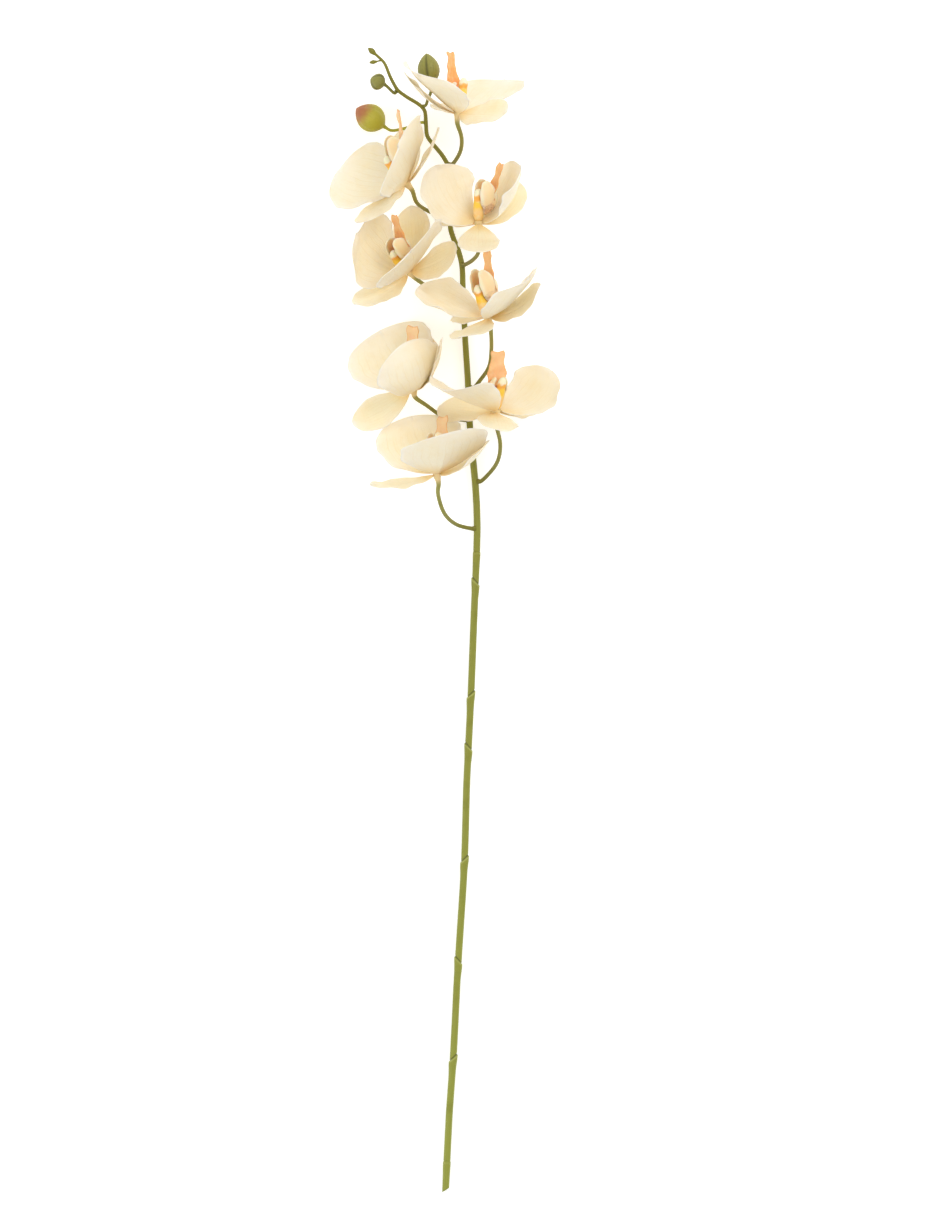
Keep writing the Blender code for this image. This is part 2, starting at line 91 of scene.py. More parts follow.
# Every flower: place of its centre, heading and tilt of its face and roll about it; lean, turn and
# size of the lip, share of its side lobes and droop; turn, lean, bend, cup, roll and sweep of each
# petal and sepal; points of its stalk and the y where it leaves the stem.
FLOWERS = {
    "flower_1": dict(
        at=(-1, 853, 54.2), heading=85, tilt=5, roll=50,
        swing=-8, lip_turn=-5, lip_size=1.0, ear=0.6, droop=0,
        right_petal=(0, 28, 5, 25, -14, 0), left_petal=(0, 8, 38, 25, -5, 5),
        dorsal_sepal=(-5, 0, 15, 25, 40, 10), right_lateral_sepal=(10, 15, 40, 10, -8, -5),
        left_lateral_sepal=(0, 3, 5, 18, -10, 0),
        stalk=[(1.5, 833, 46), (1, 823, 34), (-4, 814, 20)], joint=812),
    "flower_2": dict(
        at=(-43, 798, 38.7), heading=130, tilt=15, roll=-75,
        swing=-10, lip_turn=-10, lip_size=1.1, ear=1.05, droop=10,
        right_petal=(30, 20, 30, 15, -10, 0), left_petal=(0, 32, 15, 10, 18, -25),
        dorsal_sepal=(8, -6, 25, 15, -10, 5), right_lateral_sepal=(5, 18, 25, 12, 0, 0),
        left_lateral_sepal=(5, 14, 20, 10, 0, 5),
        stalk=[(-34, 782, 30), (-26, 776, 18)], joint=771),
    "flower_3": dict(
        at=(15, 766, 59), heading=90, tilt=15, roll=-5,
        swing=0, lip_turn=-60, lip_size=1.0, ear=1.0, droop=0,
        right_petal=(-10, 15, 80, 25, -20, 0), left_petal=(0, 25, 65, 40, 10, -10),
        dorsal_sepal=(5, -20, 20, 5, 0, 0), right_lateral_sepal=(-5, -5, 15, 15, -25, 0),
        left_lateral_sepal=(5, 5, 55, 20, 20, 5),
        stalk=[(15, 743, 42), (11, 737, 26)], joint=733),
    "flower_4": dict(
        at=(-41, 728, 42), heading=135, tilt=30, roll=-75,
        swing=-20, lip_turn=10, lip_size=1.05, ear=1.0, droop=0,
        right_petal=(30, 35, 95, 25, -5, 0), left_petal=(0, 35, 10, 10, -8, -15),
        dorsal_sepal=(0, 10, 30, 10, -10, 0), right_lateral_sepal=(-15, 15, 25, 15, 15, 0),
        left_lateral_sepal=(-20, -5, 20, 10, 10, 10),
        stalk=[(-26, 716, 24), (-12, 708, 12)], joint=702),
    "flower_5": dict(
        at=(22, 692, 64), heading=105, tilt=20, roll=-40,
        swing=5, lip_turn=-10, lip_size=1.05, ear=1.1, droop=0,
        right_petal=(15, 16, 30, 25, 8, 0), left_petal=(0, 20, 30, 30, 0, 10),
        dorsal_sepal=(10, 0, 15, 5, 0, -15), right_lateral_sepal=(20, -15, 15, 15, -5, -5),
        left_lateral_sepal=(-30, 0, 50, 10, 15, 5),
        stalk=[(25, 665, 37), (23, 652, 22), (17, 643, 13)], joint=636),
    "flower_6": dict(
        at=(-37, 636, 34.8), heading=105, tilt=30, roll=-70,
        swing=0, lip_turn=30, lip_size=1.0, ear=1.0, droop=0,
        right_petal=(-5, 15, 30, 10, -15, 0), left_petal=(0, 20, 120, 55, 15, -15),
        dorsal_sepal=(-15, -30, 30, 5, -20, 5), right_lateral_sepal=(10, 12, 20, 10, 0, 0),
        left_lateral_sepal=(4, 28, 55, 15, 0, -15),
        stalk=[(-26, 622, 28), (-12, 613, 16)], joint=611),
    "flower_7": dict(
        at=(29, 618, 50.4), heading=85, tilt=15, roll=25,
        swing=-8, lip_turn=0, lip_size=0.95, ear=0.75, droop=0,
        right_petal=(14, 18, 10, 45, 10, 0), left_petal=(0, -10, 95, 20, 5, -10),
        dorsal_sepal=(-20, 0, 0, 5, -5, 10), right_lateral_sepal=(-10, -15, 15, 10, -30, 5),
        left_lateral_sepal=(-10, -10, 15, 15, 20, 0),
        stalk=[(32, 592, 40), (30, 578, 26), (22, 567, 13)], joint=562),
    "flower_8": dict(
        at=(-18, 569, 53), heading=100, tilt=5, roll=-75,
        swing=0, lip_turn=30, lip_size=0.92, ear=1.0, droop=0,
        right_petal=(5, 20, 70, 20, -5, 0), left_petal=(0, 25, 20, 15, 0, -10),
        dorsal_sepal=(0, -10, 25, 5, -10, 0), right_lateral_sepal=(0, 15, 15, 15, 5, 0),
        left_lateral_sepal=(0, 0, 50, 20, 15, 5),
        stalk=[(-17, 553, 46), (-12, 537, 32), (-2, 528, 16)], joint=525),
}
# angle round the face at which each petal and sepal leaves the receptacle, and how far it sits back
SEATS = {
    "right_petal": (0, 0.0), "left_petal": (180, 0.0), "dorsal_sepal": (90, SEPAL_SETBACK),
    "right_lateral_sepal": (-50, SEPAL_SETBACK), "left_lateral_sepal": (-130, SEPAL_SETBACK)}
# every bud: y where its stalk leaves the stem, points of the stalk, foot, tip and radius
BUDS = {
    "green_bud_small": dict(
        joint=870, line=[(-57, 873, 31)], foot=(-59, 874.5, 32), tip=(-70, 879, 36), radius=6.7),
    "green_bud_large": dict(
        joint=857, line=[(-25, 863, 26), (-22.5, 869, 29)], foot=(-22.5, 875, 31), tip=(-26, 899, 34),
        radius=8.7),
    "blush_bud": dict(
        joint=845, line=[(-37, 842.5, 15), (-46, 840, 13), (-54, 839, 14)], foot=(-59.5, 842, 14),
        tip=(-81.5, 856, 20), radius=11.0),
}

# breadth of the lip's middle lobe beyond its shoulders, where it is broader than usual
NECK = {"flower_3": 1.15, "flower_6": 1.4, "flower_7": 1.6, "flower_8": 1.6}
# how far the lip of each flower has faded from orange to cream
PALENESS = {
    "flower_1": 0.0, "flower_2": 0.8, "flower_3": 0.3, "flower_4": 0.3, "flower_5": 0.6, "flower_6": 0.9,
    "flower_7": 0.55, "flower_8": 0.9}

# ---- shapes of the fine surface, millimetres ----
# column of the lip: its axis, and its radius against the height on it
COLUMN_FOOT = 1.2
COLUMN_HEIGHT = 25.2
COLUMN_LINE = [
    (0, 0, 0), (0, 0, 1.6), (0, 0.4, 5), (0, 0.9, 10), (0, 1.1, 15), (0, 0.8, 19.5), (0, 0.4, 22.5),
    (0, 0.1, 24.4), (0, 0.0, COLUMN_HEIGHT)]
COLUMN_PROFILE = [
    (0, 2.9), (1.5, 3.7), (4, 4.4), (9, 4.6), (13, 4.3), (16, 3.9), (17.6, 3.75), (19.5, 4.15),
    (22.0, 3.7), (24.0, 2.6), (25.0, 1.5), (25.3, 0.3)]
# lobes of the lip: x, y, z and half width along their middle; the broad part ends at the shoulder
LIP_START = 4.0
SHOULDER = 27.0
LOBE_LINE = [
    (0, -1.5, 4, 2.3), (0, -5.0, 7, 2.5), (0, -8.2, 10.5, 3.0), (0, -10.5, 15, 5.2), (0, -12.2, 19.5, 7.7),
    (0, -13.0, 23.5, 7.2), (0, -14.7, 27.5, 5.7), (0, -15.6, 31.5, 4.5), (0, -17.4, 35.5, 3.8),
    (0, -18.2, 39, 3.8), (0, -19.2, 42, 4.0), (0, -20.2, 43.8, 3.2)]
EAR_START = 6.0
EAR_LINE = [
    (2.4, -4.2, EAR_START, 1.8), (5.0, -6.0, 9.5, 4.2), (6.8, -6.6, 14.5, 6.6), (7.3, -6.2, 20, 7.4),
    (6.6, -5.2, 26, 6.3), (5.2, -4.2, 30.5, 4.0), (4.2, -3.6, 33, 1.6)]
KNOB_LINE = [(1.3, -5.6, 8), (1.8, -6.2, 11), (2.2, -7.4, 14), (2.1, -8.8, 16)]
KNOB_RADIUS = 1.5
# thickness of a stalk against the way left to the flower
PEDICEL_PROFILE = [
    (0.0, RECEPTACLE_RADIUS * 0.98), (1.6, RECEPTACLE_RADIUS), (4.5, 2.9), (7.5, 2.1),
    (12.0, PEDICEL_RADIUS * 1.12), (22.0, PEDICEL_RADIUS)]
BUD_STALK_RADIUS = 1.2
# share of a bud's radius against the share of its length
BUD_PROFILE = [
    (0.0, 0.12), (0.03, 0.26), (0.08, 0.46), (0.15, 0.68), (0.25, 0.86), (0.36, 0.97), (0.45, 1.0),
    (0.56, 0.98), (0.68, 0.87), (0.79, 0.69), (0.88, 0.48), (0.94, 0.30), (0.98, 0.14), (1.0, 0.03)]
# bud at the very tip: distance past the end of the stem, and radius
TIP_BUD_PROFILE = [(1.2, 1.5), (2.6, 2.2), (4.0, 2.4), (5.4, 2.1), (6.6, 1.4), (7.6, 0.7), (8.0, 0.2)]
# side twig at the tip: its axis, and its radius against the share of its length
TWIG_LINE = [
    (-61.2, 893.4, 35.6), (-63.5, 893.0, 36.0), (-66.0, 892.3, 36.5), (-68.5, 892.0, 36.8),
    (-71.0, 891.5, 37.0)]
TWIG_PROFILE = [(0.0, 0.85), (0.35, 0.6), (0.5, 1.2), (0.7, 1.75), (0.88, 1.2), (1.0, 0.2)]
# half the rise of a sheath's edge from side to side, and how far the sheath stands out below it
SHEATH_SLANT = 2.8
SHEATH_SWELL = 0.65
# slope of the cut end, and how far up the stem it fades out
CUT_SLANT = 0.64
CUT_REACH = 6.0
# rows and columns of the grids
PETAL_GRID = (44, 40)
SEPAL_GRID = (36, 24)
MIDDLE_LOBE_GRID = (60, 20)
SIDE_LOBE_GRID = (36, 20)


# ---------------------------------------------------------------- shapes
def turn_y(angle):
    """Rotation matrices about y, one for each angle; turn_z and turn_x are alike."""
    c, s = np.cos(angle), np.sin(angle)
    z, o = np.zeros_like(c), np.ones_like(c)
    return np.stack([np.stack([c, z, s], -1), np.stack([z, o, z], -1), np.stack([-s, z, c], -1)], -2)


def turn_z(angle):
    c, s = np.cos(angle), np.sin(angle)
    z, o = np.zeros_like(c), np.ones_like(c)
    return np.stack([np.stack([c, -s, z], -1), np.stack([s, c, z], -1), np.stack([z, z, o], -1)], -2)


def turn_x(angle):
    c, s = np.cos(angle), np.sin(angle)
    z, o = np.zeros_like(c), np.ones_like(c)
    return np.stack([np.stack([o, z, z], -1), np.stack([z, c, -s], -1), np.stack([z, s, c], -1)], -2)


def stations(rows):
    """Places along a petal from 0 to 1, closer together at both ends."""
    t = (1 - np.cos(pi * (0.12 + 0.88 * np.arange(rows + 1) / rows))) / 2
    return (t - t[0]) / (t[-1] - t[0])


def smooth(low, high, value):
    t = np.clip((value - low) / (high - low), 0, 1)
    return t * t * (3 - 2 * t)


def blade_surface(kind, pose, seat, setback, rows, columns, wave=None):
    """Middle surface of a petal or sepal in the flower's own frame, with its normals."""
    turn, lean, bend, cup, roll, sweep = [radians(value) for value in pose]
    fine, coarse = kind["shape"]
    widest = fine / (fine + coarse)
    scale = 1.0 / (widest ** fine * (1 - widest) ** coarse)
    u = stations(rows)
    v = np.linspace(-1, 1, columns + 1)
    matrix = turn_y(-(lean + bend * u)) @ turn_z(sweep * (u - 0.5)) @ turn_x(np.full_like(u, roll))
    along = matrix[:, :, 0]
    middle = (along[1:] + along[:-1]) / 2 * (np.diff(u) * kind["length"])[:, None]
    centre = np.vstack([[0, 0, 0], np.cumsum(middle, 0)])
    half = kind["claw"] / 2 * (1 - u) ** 2 + kind["width"] / 2 * scale * u ** fine * (1 - u) ** coarse
    curl = (kind["width"] / 2) / max(cup, radians(1.0))
    uu, vv = np.meshgrid(u, v, indexing="ij")
    span = half[:, None] * vv
    lift = np.zeros_like(span)
    if wave:
        span, lift = wave(uu, vv, span)
    angle = span / curl
    x, z = curl * np.sin(angle), curl * (1 - np.cos(angle))
    across, out = matrix[:, None, :, 1], matrix[:, None, :, 2]
    normal = out * np.cos(angle)[..., None] - across * np.sin(angle)[..., None]
    points = centre[:, None, :] + across * x[..., None] + out * z[..., None] + normal * lift[..., None]
    spin = turn_z(np.array(radians(seat) + turn))
    start = np.array([SEAT_RADIUS, 0, -setback])
    return (points + start) @ spin.T, normal @ spin.T, uu, vv


def surface_normals(points, reference):
    """Unit normals of a grid, on the same side as the reference directions."""
    du = np.gradient(points, axis=0)
    dv = np.gradient(points, axis=1)
    normal = np.cross(du, dv)
    size = np.linalg.norm(normal, axis=-1, keepdims=True)
    normal = np.where(size > 1e-9, normal / np.maximum(size, 1e-9), reference)
    flip = np.sign((normal * reference).sum(-1, keepdims=True))
    return normal * np.where(flip == 0, 1, flip)


def grid_body(front, back, shut_tip=True):
    """Vertices and faces of a closed thin body between two grids."""
    rows, wide = front.shape[0], front.shape[1]
    keep = rows - 1 if shut_tip else rows
    size = keep * wide + (1 if shut_tip else 0)
    sheets = []
    for grid in (front, back):
        body = grid[:keep].reshape(-1, 3)
        if shut_tip:
            body = np.vstack([body, grid[-1].mean(0)])
        sheets.append(body)
    index = np.arange(keep * wide).reshape(keep, wide)
    a, b = index[:-1, :-1].ravel(), index[:-1, 1:].ravel()
    c, d = index[1:, 1:].ravel(), index[1:, :-1].ravel()
    faces = [tuple(q) for q in np.stack([a, b, c, d], 1).tolist()]
    faces += [tuple(q) for q in (np.stack([a, d, c, b], 1) + size).tolist()]
    edge = list(index[0, ::-1]) + list(index[1:, 0])
    other = list(index[1:, -1])
    if shut_tip:
        tip = keep * wide
        last = index[-1]
        for left, right in zip(last[:-1], last[1:]):
            faces.append((int(left), int(right), tip))
            faces.append((int(left) + size, tip + size, int(right) + size))
        loop = edge + [tip] + other[::-1]
    else:
        loop = edge + list(index[-1, 1:]) + other[::-1][1:]
    for p, q in zip(loop, loop[1:] + loop[:1]):
        p, q = int(p), int(q)
        faces.append((p, q, q + size, p + size))
    return np.vstack(sheets), faces, size


def smooth_line(points, steps):
    """Smooth curve through points: a centripetal Catmull-Rom spline."""
    points = [Vector(point) for point in points]
    ends = [points[0] * 2 - points[1]] + points + [points[-1] * 2 - points[-2]]
    line = []
    for index in range(len(points) - 1):
        a, b, c, d = ends[index:index + 4]
        ta = 0.0
        tb = sqrt((b - a).length)
        tc = tb + sqrt((c - b).length)
        td = tc + sqrt((d - c).length)
        for step in range(steps):
            t = tb + (tc - tb) * step / steps
            ab = a * ((tb - t) / (tb - ta)) + b * ((t - ta) / (tb - ta))
            bc = b * ((tc - t) / (tc - tb)) + c * ((t - tb) / (tc - tb))
            cd = c * ((td - t) / (td - tc)) + d * ((t - tc) / (td - tc))
            abc = ab * ((tc - t) / (tc - ta)) + bc * ((t - ta) / (tc - ta))
            bcd = bc * ((td - t) / (td - tb)) + cd * ((t - tb) / (td - tb))
            line.append(abc * ((tc - t) / (tc - tb)) + bcd * ((t - tb) / (tc - tb)))
    line.append(points[-1])
    return line


def tube(line, radius, sides):
    """Closed body round a line; radius(index, angle) gives the distance from it."""
    count = len(line)
    tangents = []
    for index in range(count):
        tangents.append((line[min(index + 1, count - 1)] - line[max(index - 1, 0)]).normalized())
    across = tangents[0].orthogonal().normalized()
    points = []
    for index in range(count):
        across = (across - tangents[index] * across.dot(tangents[index])).normalized()
        other = tangents[index].cross(across)
        for side in range(sides):
            angle = 2 * pi * side / sides
            points.append(line[index] + (across * cos(angle) + other * sin(angle)) * radius(index, angle))
    faces = []
    for index in range(count - 1):
        for side in range(sides):
            nxt = (side + 1) % sides
            faces.append((index * sides + side, index * sides + nxt, (index + 1) * sides + nxt,
                          (index + 1) * sides + side))
    first = len(points)
    points += [line[0].copy(), line[-1].copy()]
    last = (count - 1) * sides
    for side in range(sides):
        nxt = (side + 1) % sides
        faces.append((nxt, side, first))
        faces.append((last + side, last + nxt, first + 1))
    return np.array([tuple(p) for p in points]), faces


def between(table, place):
    """Value at a place of a table of (place, value)."""
    return float(np.interp(place, [row[0] for row in table], [row[1] for row in table]))


def tube_marks(along, seam, tone, sides, ends=(0.0, 1.0), seam_ends=(0.0, 0.0)):
    """Marks of a tube: along and seam for each ring, then for the middles of its two ends."""
    count = len(along)
    across = np.abs(np.linspace(-1, 1, sides, endpoint=False))
    return {"along": np.append(np.repeat(along, sides), ends),
            "across": np.append(np.tile(across, count), (0.0, 0.0)),
            "tone": np.full(count * sides + 2, tone),
            "seam": np.append(np.broadcast_to(seam, (count, sides)), seam_ends)}


# ---------------------------------------------------------------- places
def flower_axes(flower):
    """Side, up and face direction of a flower, as the columns of a matrix."""
    heading, tilt, roll = [radians(flower[key]) for key in ("heading", "tilt", "roll")]
    face = Vector((cos(heading) * cos(tilt), sin(heading) * cos(tilt), sin(tilt)))
    up = (Vector((0, 0, 1)) - face * face.z).normalized()
    up = up * cos(roll) + face.cross(up) * sin(roll)
    side = up.cross(face)
    return np.array(Matrix((side, up, face)).transposed())


def on_table(points, flower, swing=0.0):
    """From a flower's own frame to the table; a swing leans its front part to one side."""
    points = np.array(points, dtype=float)
    points[..., 0] += tan(radians(swing)) * np.maximum(points[..., 2] - LIP_START, 0.0)
    return points @ flower_axes(flower).T + np.array(flower["at"], dtype=float)


def find_shift():
    """Offset from the numbers above to the solid model, from the boxes of its petals and sepals."""
    offsets = []
    for name, flower in FLOWERS.items():
        for part, (seat, setback) in SEATS.items():
            kind = PETAL if part in ("right_petal", "left_petal") else SEPAL
            points, normals = blade_surface(kind, flower[part], seat, setback, kind["rows"],
                                            kind["columns"])[:2]
            half = normals * BLADE_THICKNESS / 2
            both = on_table(np.concatenate([points + half, points - half]), flower).reshape(-1, 3)
            low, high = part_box(name + "_" + part)
            offsets.append((np.array(low) + np.array(high)) / 2 / MM - (both.min(0) + both.max(0)) / 2)
    return np.median(offsets, axis=0)


SHIFT = find_shift()


def add(name, points, faces, materials, node, marks, face_materials=None):
    """A mesh piece of the plant, in metres on the table, with its marks for the materials."""
    mesh = bpy.data.meshes.new(name)
    mesh.from_pydata(((np.asarray(points) + SHIFT) * MM).tolist(), [], faces)
    mesh.update()
    for key, values in marks.items():
        layer = mesh.attributes.new(key, "FLOAT", "POINT")
        layer.data.foreach_set("value", np.asarray(values, dtype=np.float32).ravel())
    for material in materials:
        mesh.materials.append(material)
    if face_materials is not None:
        mesh.polygons.foreach_set("material_index", np.asarray(face_materials, dtype=np.int32))
    mesh.polygons.foreach_set("use_smooth", [True] * len(mesh.polygons))
    piece = bpy.data.objects.new(name, mesh)
    bpy.context.scene.collection.objects.link(piece)
    body = bmesh.new()
    body.from_mesh(mesh)
    bmesh.ops.recalc_face_normals(body, faces=body.faces)
    body.to_mesh(mesh)
    body.free()
    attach(piece, "root")
    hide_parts(node)


# ---------------------------------------------------------------- materials
class Nodes:
    """Short names for building a node tree."""

    def __init__(self, name):
        self.material = bpy.data.materials.new(name)
        self.material.use_nodes = True
        self.tree = self.material.node_tree
        self.shader = self.tree.nodes["Principled BSDF"]

    def node(self, kind, **settings):
        item = self.tree.nodes.new(kind)
        for key, value in settings.items():
            setattr(item, key, value)
        return item

    def put(self, socket, value):
        if isinstance(value, bpy.types.NodeSocket):
            self.tree.links.new(value, socket)
        elif isinstance(value, (tuple, list)) and len(value) == 3 and socket.type == "RGBA":
            socket.default_value = (*value, 1.0)
        else:
            socket.default_value = value

    def mark(self, name):
        return self.node("ShaderNodeAttribute", attribute_name=name).outputs["Fac"]

    def math(self, operation, a, b=0.0):
        item = self.node("ShaderNodeMath", operation=operation)
        self.put(item.inputs[0], a)
        self.put(item.inputs[1], b)
        return item.outputs[0]

    def times(self, a, b):
        return self.math("MULTIPLY", a, b)

    def sway(self, value, amount):
        """A noise value moved to both sides of nought."""
        return self.times(self.math("SUBTRACT", value, 0.5), amount)

    def ramp(self, value, low, high, start=0.0, end=1.0):
        """Smooth change from start to end while the value goes from low to high."""
        item = self.node("ShaderNodeMapRange", interpolation_type="SMOOTHSTEP")
        for socket, entry in zip(item.inputs[:5], (value, low, high, start, end)):
            self.put(socket, entry)
        return item.outputs[0]

    def mix(self, amount, a, b):
        item = self.node("ShaderNodeMix", data_type="RGBA")
        self.put(item.inputs[0], amount)
        self.put(item.inputs[6], a)
        self.put(item.inputs[7], b)
        return item.outputs[2]

    def noise(self, scale, detail=3.0, rough=0.5, vector=None):
        item = self.node("ShaderNodeTexNoise")
        item.inputs["Scale"].default_value = scale
        item.inputs["Detail"].default_value = detail
        item.inputs["Roughness"].default_value = rough
        if vector is None:
            vector = self.node("ShaderNodeTexCoord").outputs["Object"]
        self.put(item.inputs["Vector"], vector)
        return item.outputs[0]

    def join(self, x, y, z=0.0):
        item = self.node("ShaderNodeCombineXYZ")
        for socket, entry in zip(item.inputs, (x, y, z)):
            self.put(socket, entry)
        return item.outputs[0]

    def bump(self, height, strength, distance, normal=None):
        item = self.node("ShaderNodeBump")
        item.inputs["Strength"].default_value = strength
        item.inputs["Distance"].default_value = distance
        self.put(item.inputs["Height"], height)
        if normal is not None:
            self.put(item.inputs["Normal"], normal)
        return item.outputs[0]

    def finish(self, colour, rough, normal=None, **fixed):
        self.put(self.shader.inputs["Base Color"], colour)
        self.put(self.shader.inputs["Roughness"], rough)
        if normal is not None:
            self.put(self.shader.inputs["Normal"], normal)
        for key, value in fixed.items():
            self.shader.inputs[key.replace("_", " ")].default_value = value
        return self.material


def vein_lines(n, count, wobble):
    """Lines that fan out from the claw to the margin."""
    u, v = n.mark("along"), n.mark("across")
    drift = n.sway(n.noise(5.0, 2.0, 0.5, n.join(u, v, n.mark("tone"))), wobble)
    x = n.math("ADD", n.times(v, count), drift)
    gap = n.math("ABSOLUTE", n.math("SUBTRACT", n.math("FRACT", x), 0.5))
    return n.ramp(gap, 0.40, 0.5)


def blade_material(name, front, back, base_tint_and_shade, veins):
    """Petal or sepal: veins, speckles, a warm base that is partly the blade's own tint and partly painted
    shade of the flower's hollow centre, and a pale rim.
    """
    n = Nodes(name)
    u, side, rim = n.mark("along"), n.mark("front"), n.mark("rim")
    coarse = vein_lines(n, 5.5, 0.9)
    fine = n.times(vein_lines(n, 12.5, 1.6), n.ramp(u, 0.2, 0.5))
    fade = n.times(n.ramp(rim, 0.03, 0.35), n.ramp(u, 1.0, 0.55, 0.15, 1.0))
    vein = n.times(n.math("ADD", n.times(coarse, 0.65), n.times(fine, 0.45)), fade)
    cloud = n.noise(45.0, 4.0, 0.6)
    grain = n.noise(420.0, 3.0, 0.6)
    colour = n.mix(side, back, front)
    colour = n.mix(n.times(n.ramp(cloud, 0.42, 0.68), SPECKLE), colour, veins)
    colour = n.mix(n.times(n.ramp(grain, 0.5, 0.75), SPECKLE * 0.6), colour, veins)
    colour = n.mix(n.times(vein, 0.55), colour, veins)
    # warmer, darker colour towards the foot of each blade: partly its own tint, partly painted shade where
    # petals and sepals meet in the flower's centre
    foot = n.math("ADD", n.ramp(u, 0.34, 0.0, 0.0, 0.75), n.sway(cloud, 0.3))
    colour = n.mix(n.math("MAXIMUM", foot, 0.0), colour, base_tint_and_shade)
    colour = n.mix(n.ramp(rim, 0.10, 0.0, 0.0, 0.55), colour, PALE_RIM)
    relief = n.times(vein, n.ramp(side, 0.0, 1.0, 1.0, -1.0))
    normal = n.bump(relief, 0.35, 0.0006)
    normal = n.bump(grain, 0.25, 0.0002, normal)
    rough = n.ramp(grain, 0.3, 0.7, 0.52, 0.66)
    return n.finish(colour, rough, normal, Subsurface_Weight=0.35, Subsurface_Scale=0.006,
                    Subsurface_Radius=(1.0, 0.75, 0.45), Sheen_Weight=0.12, Sheen_Roughness=0.5,
                    Specular_IOR_Level=0.35)


def lobe_material():
    """Middle lobe and side lobes of the lip: peach flesh, pale margins, dark red in the throat."""
    n = Nodes("lip_flesh")
    u, side, ear, rim = n.mark("along"), n.mark("front"), n.mark("ear"), n.mark("rim")
    cloud = n.noise(160.0, 4.0, 0.6)
    reach = n.math("ADD", u, n.sway(cloud, 0.5))
    peach = n.mix(n.ramp(reach, 0.25, 0.95), (0.90, 0.36, 0.085), (0.92, 0.47, 0.17))
    peach = n.mix(n.ramp(cloud, 0.45, 0.7, 0.0, 0.4), peach, (0.95, 0.62, 0.32))
    peach = n.mix(n.times(n.mark("tone"), 0.75), peach, (0.93, 0.70, 0.42))
    flesh = n.mix(n.ramp(reach, 0.1, 0.8), (0.92, 0.52, 0.20), (0.92, 0.66, 0.34))
    heart = n.times(n.ramp(rim, 0.10, 0.55), n.ramp(side, 0.0, 1.0, 0.55, 1.0))
    wing = n.mix(n.math("ADD", heart, n.sway(cloud, 0.5)), (0.92, 0.82, 0.62), flesh)
    back = n.mix(0.4, peach, (0.93, 0.74, 0.48))
    colour = n.mix(ear, n.mix(side, back, peach), wing)
    spots = n.ramp(n.noise(520.0, 2.0, 0.6), 0.50, 0.60)
    throat = n.times(n.ramp(reach, 0.44, 0.26), n.math("ADD", n.times(spots, 0.45), 0.55))
    colour = n.mix(n.times(throat, n.ramp(side, 0.0, 1.0, 0.5, 1.0)), colour, (0.22, 0.016, 0.008))
    edge = n.times(n.ramp(rim, 0.12, 0.0, 0.0, 0.6), n.ramp(ear, 1.0, 0.0))
    colour = n.mix(edge, colour, (0.80, 0.33, 0.10))
    normal = n.bump(cloud, 0.3, 0.0004)
    return n.finish(colour, n.ramp(cloud, 0.3, 0.7, 0.42, 0.56), normal, Subsurface_Weight=0.3,
                    Subsurface_Scale=0.004, Subsurface_Radius=(1.0, 0.5, 0.2), Specular_IOR_Level=0.4)


def column_material():
    """Column of the lip: yellow, with an orange band below its pale cap."""
    n = Nodes("lip_column")
    u = n.mark("along")
    cloud = n.noise(220.0, 3.0, 0.5)
    patch = n.noise(110.0, 2.0, 0.5)
    reach = n.math("ADD", u, n.sway(cloud, 0.25))
    colour = n.mix(n.ramp(reach, 0.0, 0.22), (0.93, 0.56, 0.07), (0.95, 0.64, 0.27))
    colour = n.mix(n.ramp(reach, 0.30, 0.52), colour, (0.95, 0.62, 0.06))
    colour = n.mix(n.ramp(patch, 0.5, 0.62, 0.0, 0.55), colour, (0.96, 0.74, 0.42))
    colour = n.mix(n.ramp(reach, 0.62, 0.72), colour, (0.92, 0.44, 0.07))
    colour = n.mix(n.ramp(reach, 0.76, 0.86), colour, (0.90, 0.86, 0.62))
    normal = n.bump(cloud, 0.25, 0.0004)
    return n.finish(colour, n.ramp(cloud, 0.3, 0.7, 0.34, 0.48), normal, Subsurface_Weight=0.25,
                    Subsurface_Scale=0.004, Subsurface_Radius=(1.0, 0.6, 0.2), Specular_IOR_Level=0.5)


def green_material(name, low, high, dark, pale, tip=None):
    """Skin of the stem, stalks and buds, from foot to tip; a seam above 0 is dark, below 0 pale."""
    n = Nodes(name)
    u, round_ = n.mark("along"), n.mark("across")
    stretched = n.join(n.times(round_, 3.0), n.times(u, 1.2), n.mark("tone"))
    long_streak = n.noise(9.0, 4.0, 0.6, stretched)
    cloud = n.noise(70.0, 5.0, 0.6)
    grain = n.noise(900.0, 2.0, 0.5)
    colour = n.mix(u, low, high)
    colour = n.mix(n.ramp(long_streak, 0.45, 0.72, 0.0, 0.45), colour, dark)
    colour = n.mix(n.ramp(cloud, 0.5, 0.75, 0.0, 0.35), colour, dark)
    if tip:
        reach = n.math("ADD", u, n.sway(cloud, 0.5))
        colour = n.mix(n.ramp(reach, 0.55, 0.98, 0.0, 0.9), colour, tip)
    seam = n.mark("seam")
    colour = n.mix(n.ramp(seam, 0.1, 1.0, 0.0, 0.85), colour, tuple(0.35 * c for c in dark))
    colour = n.mix(n.ramp(seam, 0.0, -0.8, 0.0, 0.9), colour, pale)
    normal = n.bump(long_streak, 0.25, 0.0006)
    normal = n.bump(grain, 0.15, 0.0001, normal)
    return n.finish(colour, n.ramp(cloud, 0.3, 0.7, 0.42, 0.58), normal, Subsurface_Weight=0.08,
                    Subsurface_Scale=0.003, Subsurface_Radius=(0.6, 1.0, 0.2), Specular_IOR_Level=0.4)


